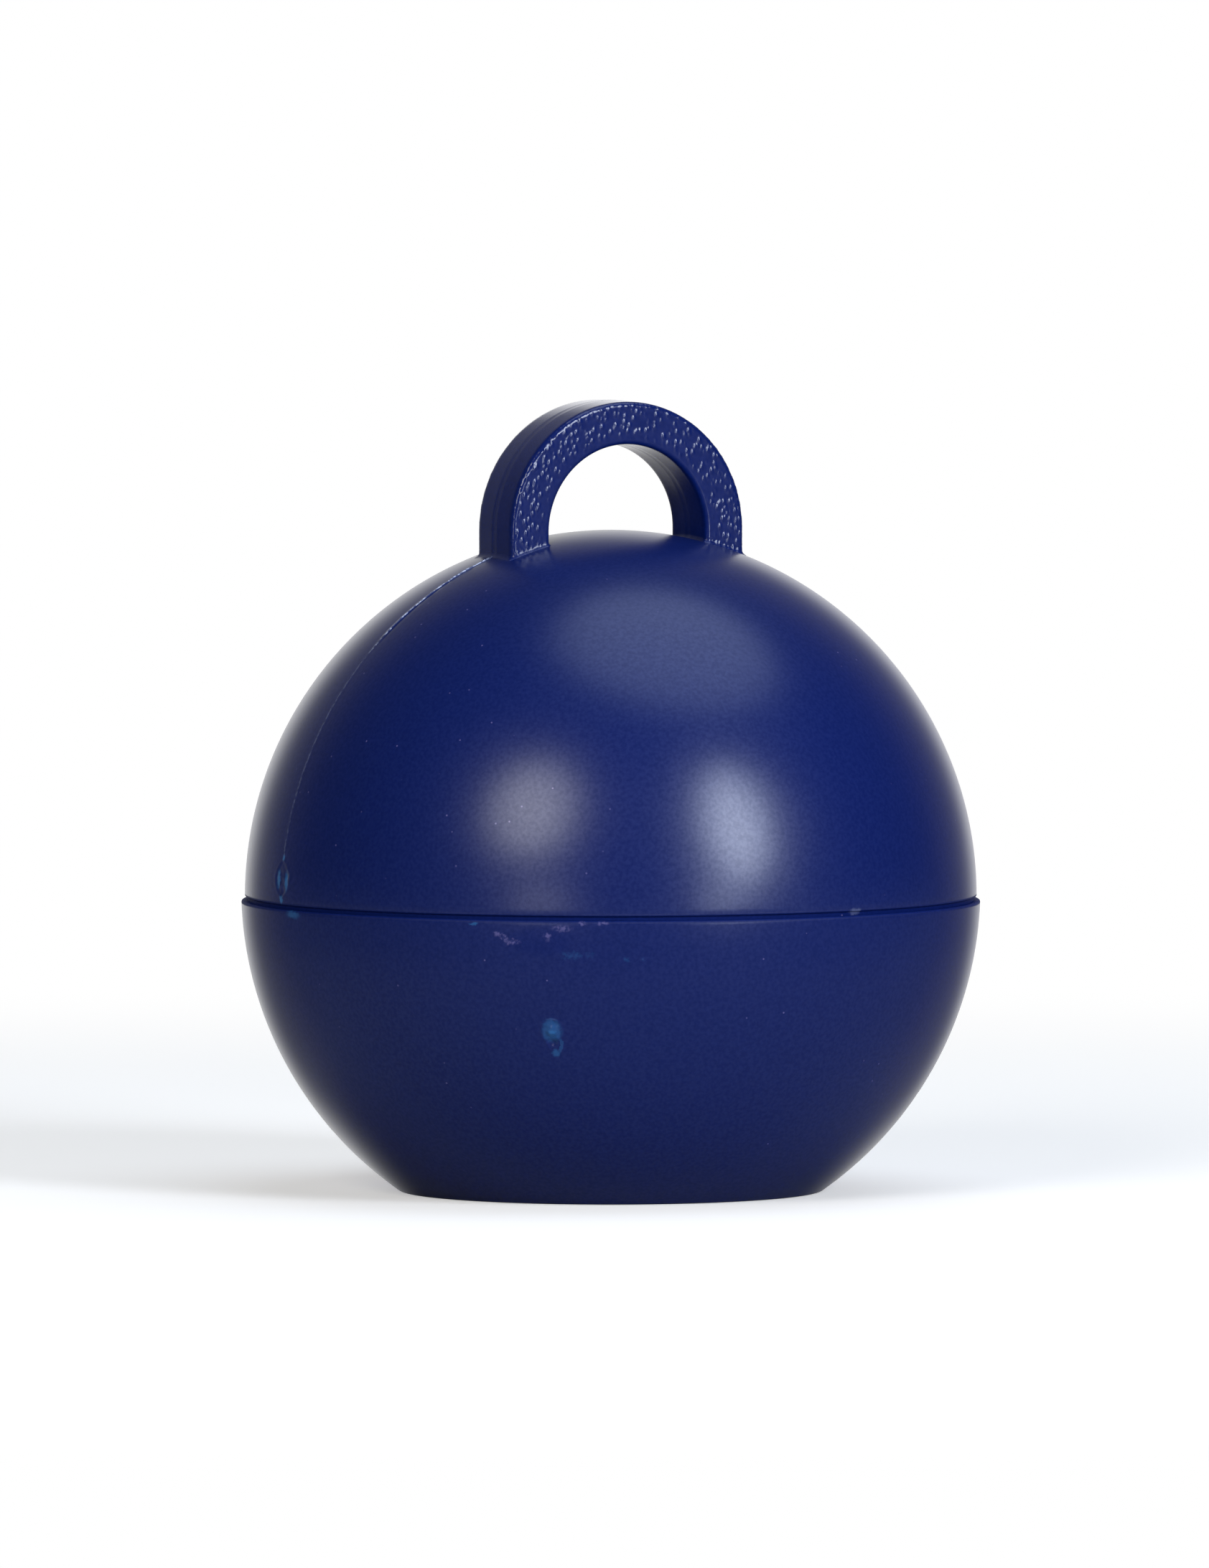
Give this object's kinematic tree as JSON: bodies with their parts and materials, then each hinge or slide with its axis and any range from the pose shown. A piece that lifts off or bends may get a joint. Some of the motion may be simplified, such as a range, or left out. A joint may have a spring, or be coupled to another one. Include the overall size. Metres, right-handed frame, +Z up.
{
  "type": "balloon weight",
  "caption": "Ball-shaped balloon weight with a flat base: a plastic dome with a ribbon loop on its crown, pushed onto a plastic cup that holds a steel slug as ballast.",
  "frame": {"origin": "centre of the flat base, on the surface that the weight stands on", "axes": "+Z up along the ball's axis, X along the plane of the ribbon loop, Y the way that a ribbon passes through the loop, with the pictured side towards -Y"},
  "size_m": [0.04, 0.04, 0.0428],
  "materials": {
    "navy_plastic": "satin",
    "slug_steel": "cut and lightly oiled"
  },
  "bodies": {
    "cup": {"lower_cup": "navy_plastic", "ballast_slug": "slug_steel"},
    "dome": {"upper_dome": "navy_plastic"}
  },
  "joints": [
    {"name": "dome_pull_off", "type": "slide", "parent": "cup", "child": "dome", "axis": [0, 0, 1], "range_m": [0, 0.03]}
  ]
}
